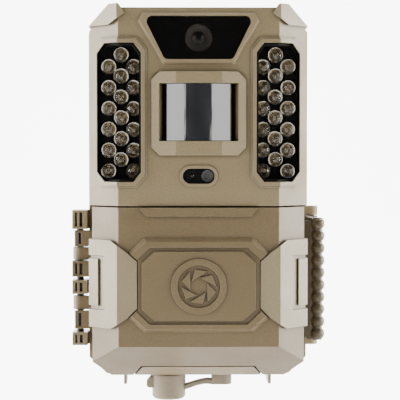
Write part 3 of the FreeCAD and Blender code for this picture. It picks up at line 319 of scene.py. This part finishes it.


# One material for each slot of the record; plastics have their colour, a paler tone for grain, worn
# edges and painted edge highlights, and a darker tone for flow marks and painted shade in grooves
materials = {
    "case_tan": moulded("case_tan", (0.204, 0.155, 0.078), (0.34, 0.28, 0.175), (0.186, 0.140, 0.069),
                        roughness=0.44),
    "door_tan": moulded("door_tan", (0.132, 0.092, 0.040), (0.25, 0.195, 0.11), (0.118, 0.081, 0.034),
                        roughness=0.44),
    "trim_tan": moulded("trim_tan", (0.240, 0.188, 0.104), (0.39, 0.33, 0.22), (0.215, 0.167, 0.090),
                        roughness=0.40),
    "grip_olive": moulded("grip_olive", (0.070, 0.051, 0.024), (0.13, 0.10, 0.06), (0.054, 0.039, 0.018),
                          roughness=0.30, bump=0.10),
    "dark_plastic": moulded("dark_plastic", (0.012, 0.011, 0.010), (0.03, 0.028, 0.025),
                            (0.007, 0.0065, 0.006), roughness=0.6, wear_and_highlight=0.1, shine=0.08),
    "window_black": pane("window_black", (0.80, 0.74, 0.68)),
    "lens_black": gloss("lens_black", (0.075, 0.080, 0.080), 0.3, coat=0.3),
    "lens_glass": gloss("lens_glass", (0.002, 0.005, 0.007), 0.02, coat=0.0),
    "led_clear": clear("led_clear", (0.98, 0.95, 0.90)),
    "fresnel_white": fresnel("fresnel_white"),
    "seal_rubber": moulded("seal_rubber", (0.02, 0.02, 0.02), (0.05, 0.05, 0.05), (0.012, 0.012, 0.012),
                           roughness=0.6),
    "cover_rubber": moulded("cover_rubber", (0.235, 0.190, 0.125), (0.34, 0.29, 0.21),
                            (0.20, 0.160, 0.102), roughness=0.60),
    "circuit_board": gloss("circuit_board", (0.01, 0.09, 0.035), 0.3, coat=0.3),
    "sensor_steel": metal("sensor_steel", (0.62, 0.6, 0.56), 0.25),
    "steel": metal("steel", (0.55, 0.54, 0.52), 0.32),
    "brass": metal("brass", (0.68, 0.47, 0.18), 0.28),
    "lcd_cover": clear("lcd_cover", (0.95, 0.97, 0.96)),
    "lcd_display": gloss("lcd_display", (0.20, 0.25, 0.16), 0.25, coat=0.4),
    "key_grey": moulded("key_grey", (0.10, 0.10, 0.10), (0.17, 0.17, 0.17), (0.07, 0.07, 0.07),
                        roughness=0.6),
    "key_ok": moulded("key_ok", (0.35, 0.10, 0.02), (0.45, 0.18, 0.07), (0.26, 0.07, 0.015),
                      roughness=0.6),
    "cell_wrap": gloss("cell_wrap", (0.015, 0.015, 0.017), 0.2),
    "card_plastic": moulded("card_plastic", (0.02, 0.025, 0.04), (0.05, 0.055, 0.07),
                            (0.014, 0.017, 0.028)),
}
cup_metal = metal("led_cup", (0.52, 0.50, 0.45), 0.20, 1500.0)
die_gold = metal("led_die", (0.75, 0.60, 0.36), 0.25, 1500.0)
dark_steel = metal("dark_steel", (0.045, 0.043, 0.040), 0.38)
black_plate = gloss("black_plate", (0.004, 0.004, 0.004), 0.12)
# Nodes that look different from their slot's material
special = {"hinge_pin": dark_steel, "latch_pin": dark_steel, "indicator_window": black_plate}
slot_of = {entry["node"]: entry["material_slot"] for entry in frame["record"]["subparts"]}


def dress_cad_nodes():
    for name, obj in nodes.items():
        obj.data.materials.clear()
        obj.data.materials.append(special.get(name, materials[slot_of[name]]))
        for polygon in obj.data.polygons:
            polygon.material_index = 0


class Piece:
    """A mesh of turned, boxed and swept shapes, in millimetres, with one or more materials."""

    def __init__(self, name, *finishes):
        self.name = name
        self.finishes = finishes
        self.bm = bmesh.new()

    def lathe(self, profile, origin, axis="Y", segments=32, finish=0):
        """Turns (radius, distance) points round a line through origin, along +Y, +Z or -Z."""
        rows = []
        for radius, along in profile:
            count = segments if radius > 1e-6 else 1
            row = []
            for index in range(count):
                turn = 2 * math.pi * index / segments
                a, b = radius * math.cos(turn), radius * math.sin(turn)
                local = {"Y": (a, along, b), "Z": (a, -b, along), "-Z": (a, b, -along)}[axis]
                row.append(self.bm.verts.new([(origin[k] + local[k]) * MM for k in range(3)]))
            rows.append(row)
        for first, second in zip(rows, rows[1:]):
            for index in range(segments):
                ring = [first[index % len(first)], first[(index + 1) % len(first)],
                        second[(index + 1) % len(second)], second[index % len(second)]]
                corners = list(dict.fromkeys(ring))
                if len(corners) > 2:
                    self.bm.faces.new(corners).material_index = finish

    def box(self, low, high, finish=0):
        made = bmesh.ops.create_cube(self.bm, size=1.0)["verts"]
        middle = [(a + b) / 2 for a, b in zip(low, high)]
        for vert in made:
            vert.co = Vector([(middle[k] + vert.co[k] * (high[k] - low[k])) * MM for k in range(3)])
        for face in {face for vert in made for face in vert.link_faces}:
            face.material_index = finish

    def sweep(self, rings, finish=0):
        """Joins closed rings of (x, y, z) points into a solid with flat ends."""
        rows = [[self.bm.verts.new([c * MM for c in point]) for point in ring] for ring in rings]
        for first, second in zip(rows, rows[1:]):
            for index in range(len(first)):
                nxt = (index + 1) % len(first)
                side = self.bm.faces.new((first[index], first[nxt], second[nxt], second[index]))
                side.material_index = finish
        self.bm.faces.new(rows[0][::-1]).material_index = finish
        self.bm.faces.new(rows[-1]).material_index = finish

    def done(self, body=None, stands_for=(), sharp=35.0, rounding=0.0):
        bmesh.ops.recalc_face_normals(self.bm, faces=self.bm.faces)
        mesh = bpy.data.meshes.new(self.name)
        self.bm.to_mesh(mesh)
        self.bm.free()
        for finish in self.finishes:
            mesh.materials.append(finish)
        for polygon in mesh.polygons:
            polygon.use_smooth = True
        mesh.set_sharp_from_angle(angle=math.radians(sharp))
        obj = link(bpy.data.objects.new(self.name, mesh))
        if rounding:
            bevel = obj.modifiers.new("edges", "BEVEL")
            bevel.width = rounding * MM
            bevel.segments = 3
            bevel.limit_method = "ANGLE"
            bevel.angle_limit = math.radians(sharp)
        if body:
            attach(obj, body)
        if stands_for:
            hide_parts(*stands_for)
        return obj


# Infrared LEDs: clear 5 mm bodies with a silvered cup and a die inside
H0 = 66.7  # the frame's origin lies this far above the case's underside
CUP_PROFILE = [(0.0, 4.1), (0.42, 4.1), (1.35, 3.0), (1.62, 3.0), (1.72, 3.2), (1.72, 4.6), (1.1, 5.4),
               (1.1, 7.8), (0.0, 7.8)]
CUP_WANDER, CUP_WANDER_DEEP = 0.12, 0.1
DIE_HALF, DIE_NEAR, DIE_FAR = 0.24, 3.86, 4.12
LED_TIP = -70.7
LED_COLUMNS = ((21.2, 102.8), (25.25, 106.6), (29.35, 102.8))
LED_ROWS, LED_PITCH = 6, 6.83
LED_RADIUS = 2.5
LED_LENGTH = 8.0


def arc(radius, start, stop, count, centre=(0.0, 0.0)):
    """Points on a circle as (distance from the axis, distance along it); degrees from its near end."""
    points = []
    for index in range(count + 1):
        angle = math.radians(start + (stop - start) * index / count)
        out, along = centre[0] + radius * math.sin(angle), centre[1] - radius * math.cos(angle)
        points.append((max(0.0, out), along))
    return points


def make_leds(side, name):
    body = Piece("ir_leds_clear_" + name, materials["led_clear"])
    inside = Piece("ir_led_cups_" + name, cup_metal, die_gold)
    dome = arc(LED_RADIUS, 0, 90, 12, (0, LED_RADIUS))
    for column, top in LED_COLUMNS:
        for row in range(LED_ROWS):
            x, z = side * column, top - H0 - row * LED_PITCH
            body.lathe(dome + [(LED_RADIUS, LED_LENGTH), (0, LED_LENGTH)], (x, LED_TIP, z),
                       segments=40)
            cup_at = (x + random.uniform(-CUP_WANDER, CUP_WANDER),
                      LED_TIP + random.uniform(-CUP_WANDER_DEEP, CUP_WANDER_DEEP),
                      z + random.uniform(-CUP_WANDER, CUP_WANDER))
            inside.lathe(CUP_PROFILE, cup_at, segments=28)
            inside.box((cup_at[0] - DIE_HALF, cup_at[1] + DIE_NEAR, cup_at[2] - DIE_HALF),
                       (cup_at[0] + DIE_HALF, cup_at[1] + DIE_FAR, cup_at[2] + DIE_HALF), 1)
    body.done("camera", ["ir_leds_" + name])
    inside.done("camera")


# Camera lens behind the window
LENS_AT = (0.0, -72.8, 111.9 - H0)
RING_STEPS = [(4.55, 10.8), (4.6, 0.25), (4.4, 0.0), (3.95, 0.0), (3.85, 0.35), (3.45, 0.35), (3.4, 0.7),
              (3.3, 0.7), (3.2, 1.1), (2.7, 1.2), (2.6, 1.9), (2.1, 2.0), (2.0, 5.0), (0.0, 5.0)]
GLASS_CURVE, GLASS_APEX = 4.2, 0.9
GLASS_RADIUS, GLASS_BACK = 2.1, 1.7


def make_lens():
    barrel = Piece("lens_rings", materials["lens_black"], materials["lens_glass"])
    barrel.lathe(RING_STEPS, LENS_AT, segments=64)
    glass = arc(GLASS_CURVE, 0, 30, 10, (0, GLASS_APEX + GLASS_CURVE))
    barrel.lathe(glass + [(GLASS_RADIUS, GLASS_BACK), (0.0, GLASS_BACK)], LENS_AT, segments=64, finish=1)
    barrel.done("camera", ["lens_barrel", "lens_front_glass"])


# Curved film in front of the PIR sensor
PIR_HALF, PIR_SAG, PIR_THICK = 10.5, 3.0, 1.0
PIR_APEX = -79.1
PIR_LEG_END = -71.7
PIR_LOW, PIR_HIGH = 78.6 - H0, 96.8 - H0
PIR_STEPS = 64


def make_pir():
    piece = Piece("pir_film", materials["fresnel_white"])
    radius = (PIR_HALF ** 2 + PIR_SAG ** 2) / (2 * PIR_SAG)
    reach = math.asin(PIR_HALF / radius)
    outer = [(-PIR_HALF, PIR_LEG_END)]
    inner = [(-PIR_HALF + PIR_THICK, PIR_LEG_END)]
    for index in range(PIR_STEPS + 1):
        angle = reach * (2 * index / PIR_STEPS - 1)
        for points, r in ((outer, radius), (inner, radius - PIR_THICK)):
            points.append((r * math.sin(angle), PIR_APEX + radius - r * math.cos(angle)))
    outer.append((PIR_HALF, PIR_LEG_END))
    inner.append((PIR_HALF - PIR_THICK, PIR_LEG_END))
    outline = outer + inner[::-1]
    rows = [[(x, y, z) for x, y in outline] for z in (PIR_LOW, PIR_HIGH)]
    piece.sweep(rows)
    piece.done("camera", ["pir_fresnel_lens"])


# Rubber cover of the DC port: cap, tab and a strap that bends towards its anchor
COVER_AT = (-9.8, -51.6, -H0)
CAP_PROFILE = [(0.0, -2.2), (2.6, -2.2), (2.9, -1.9), (2.9, 0.35), (5.4, 0.35), (5.7, 0.65), (5.7, 7.7)]
CAP_CORNER = 1.4
CAP_DIMPLE = [(2.2, 9.1), (2.0, 8.8), (0.0, 8.8)]
TAB_OUTLINE = ((-4.6, -5.3), (-6.9, -5.3), (-7.6, -4.6), (-7.6, -3.1), (-6.2, -1.5), (-4.6, -1.5))
TAB_HALF = 2.4
STRAP_HALF, STRAP_NARROWS = 2.5, 0.5
STRAP_FROM_CAP, STRAP_END = 5.2, 4.7
STRAP_BELOW, STRAP_RISE, STRAP_ARCH = 6.0, 1.8, 0.5
STRAP_THICK, STRAP_CORNER = 1.55, 0.25
STRAP_STEPS = 24


def make_port_cover():
    cap = Piece("port_cover_cap", materials["cover_rubber"])
    out, deep = CAP_PROFILE[-1]
    rim = arc(CAP_CORNER, 90, 180, 8, (out - CAP_CORNER, deep))[1:]
    cap.lathe(CAP_PROFILE + rim + CAP_DIMPLE, COVER_AT, "-Z", segments=72)
    x, y, z = COVER_AT
    cap.sweep([[(x + a, y + side * TAB_HALF, z + b) for a, b in TAB_OUTLINE] for side in (-1, 1)])
    cap.done("port_cover", ["port_cover"], rounding=0.25)
    strap = Piece("port_cover_strap", materials["cover_rubber"])
    rings = []
    for index in range(STRAP_STEPS + 1):
        t = index / STRAP_STEPS
        start = x + STRAP_FROM_CAP
        along = start + t * (STRAP_END - start)
        middle = math.sin(math.pi * t)
        low = z - STRAP_BELOW + STRAP_RISE * t * t * (3 - 2 * t) + STRAP_ARCH * middle
        wide, high = STRAP_HALF - STRAP_NARROWS * middle, low + STRAP_THICK
        narrow = wide - STRAP_CORNER
        section = ((-wide, low + STRAP_CORNER), (-narrow, low), (narrow, low),
                   (wide, low + STRAP_CORNER), (wide, high - STRAP_CORNER), (narrow, high),
                   (-narrow, high), (-wide, high - STRAP_CORNER))
        rings.append([(along, y + a, b) for a, b in section])
    strap.sweep(rings)
    bent = strap.done()
    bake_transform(bent)


# Beads of the latch's grip
BEADS_AT = (40.2, -59.0, -H0)
BEAD_LOW, BEAD_HIGH, BEAD_COUNT = 11.8, 52.9, 10
BEAD_NECK, BEAD_SWELL, BEAD_GAP = 1.62, 0.78, 0.42
BEAD_FULLNESS = 0.62  # under 1 is fuller than a sine
BEAD_STEPS = 12


def make_beads():
    piece = Piece("latch_beads", materials["grip_olive"])
    pitch = (BEAD_HIGH - BEAD_LOW) / BEAD_COUNT
    profile = [(0.0, BEAD_LOW), (BEAD_NECK, BEAD_LOW)]
    for index in range(BEAD_COUNT):
        low = BEAD_LOW + index * pitch
        for step in range(BEAD_STEPS + 1):
            t = step / BEAD_STEPS
            bulge = math.sin(math.pi * t) ** BEAD_FULLNESS
            profile.append((BEAD_NECK + BEAD_SWELL * bulge, low + BEAD_GAP + t * (pitch - 2 * BEAD_GAP)))
        profile.append((BEAD_NECK, low + pitch))
    profile.append((0.0, BEAD_HIGH))
    piece.lathe(profile, BEADS_AT, "Z", segments=48)
    piece.done("latch", ["latch_grip"], sharp=50.0)


# The floor is low enough for the battery tray to slide out of the bottom, and is darker under the object
FLOOR_DROP = 0.075
FLOOR_SHADED, FLOOR_PALE, FLOOR_CLOUD = (0.46, 0.455, 0.445), (0.975, 0.975, 0.97), (0.955, 0.955, 0.95)
SHADED_TO, PALE_FROM = -0.05, 0.35
FLOOR_NEAR, FLOOR_WIDE, FLOOR_DEEP, WALL_HIGH, WALL_BEND = -1.2, 2.0, 0.9, 1.8, 0.35
BEND_STEPS = 16


def make_stage():
    low = cad_box[0].z - FLOOR_DROP
    profile = [(FLOOR_NEAR, low)]
    profile += [(FLOOR_DEEP - WALL_BEND + across, up)
                for across, up in arc(WALL_BEND, 0, 90, BEND_STEPS, (0.0, low + WALL_BEND))]
    profile.append((FLOOR_DEEP, low + WALL_HIGH))
    bm = bmesh.new()
    rows = [[bm.verts.new((side * FLOOR_WIDE, y, z)) for y, z in profile] for side in (-1, 1)]
    for index in range(len(profile) - 1):
        bm.faces.new((rows[0][index], rows[1][index], rows[1][index + 1], rows[0][index + 1]))
    mesh = bpy.data.meshes.new("studio_floor")
    bm.to_mesh(mesh)
    bm.free()
    for polygon in mesh.polygons:
        polygon.use_smooth = True
    n = Nodes("studio_white")
    place = n.add("ShaderNodeSeparateXYZ")
    n.join(n.where, place.inputs["Vector"])
    far = n.spread(place.outputs["Y"], SHADED_TO, PALE_FROM)
    pale = n.mix(n.noise(3.0), FLOOR_CLOUD, FLOOR_PALE)
    n.join(n.mix(far, FLOOR_SHADED, pale), n.shader.inputs["Base Color"])
    set_input(n.shader, "Roughness", 0.9)
    mesh.materials.append(n.material)
    link(bpy.data.objects.new("studio_floor", mesh))


# Four boxes at one distance round the front: name, side, degrees from the front, width, height, watts
BOXES = (
    ("left_side", -1, 92, 0.36, 0.50, 11.5), ("left_front", -1, 45, 0.44, 0.52, 1.8),
    ("right_side", 1, 92, 0.36, 0.50, 10.0), ("right_front", 1, 45, 0.44, 0.52, 1.8),
)
BOX_REACH, BOX_RISE = 0.62, 0.06
BOX_COLOUR = (1, 0.985, 0.965)
SKY_COLOUR, SKY_STRENGTH = (0.9, 0.93, 1.0, 1), 0.07


def make_lights():
    world = bpy.data.worlds.new("studio")
    scene.world = world
    world.use_nodes = True
    background = world.node_tree.nodes["Background"]
    background.inputs["Color"].default_value = SKY_COLOUR
    background.inputs["Strength"].default_value = SKY_STRENGTH
    centre = Vector((0, FRONT_Y, 0))
    for name, side, degrees, width, height, power in BOXES:
        turn = math.radians(degrees)
        eye = centre + Vector((side * BOX_REACH * math.sin(turn), -BOX_REACH * math.cos(turn), BOX_RISE))
        area_light(name, eye, centre, width, height, power, BOX_COLOUR)
    area_light("top_box", centre + Vector((0.0, -0.10, 0.80)), centre, 0.6, 0.5, 2.0)
    area_light("back_wash", Vector((0, 0.35, 0.9)), Vector((0, 0.9, 0.1)), 1.6, 0.5, 105.0)


make_camera()
make_stage()
make_lights()
dress_cad_nodes()
make_leds(-1, "left")
make_leds(1, "right")
make_lens()
make_pir()
make_port_cover()
make_beads()
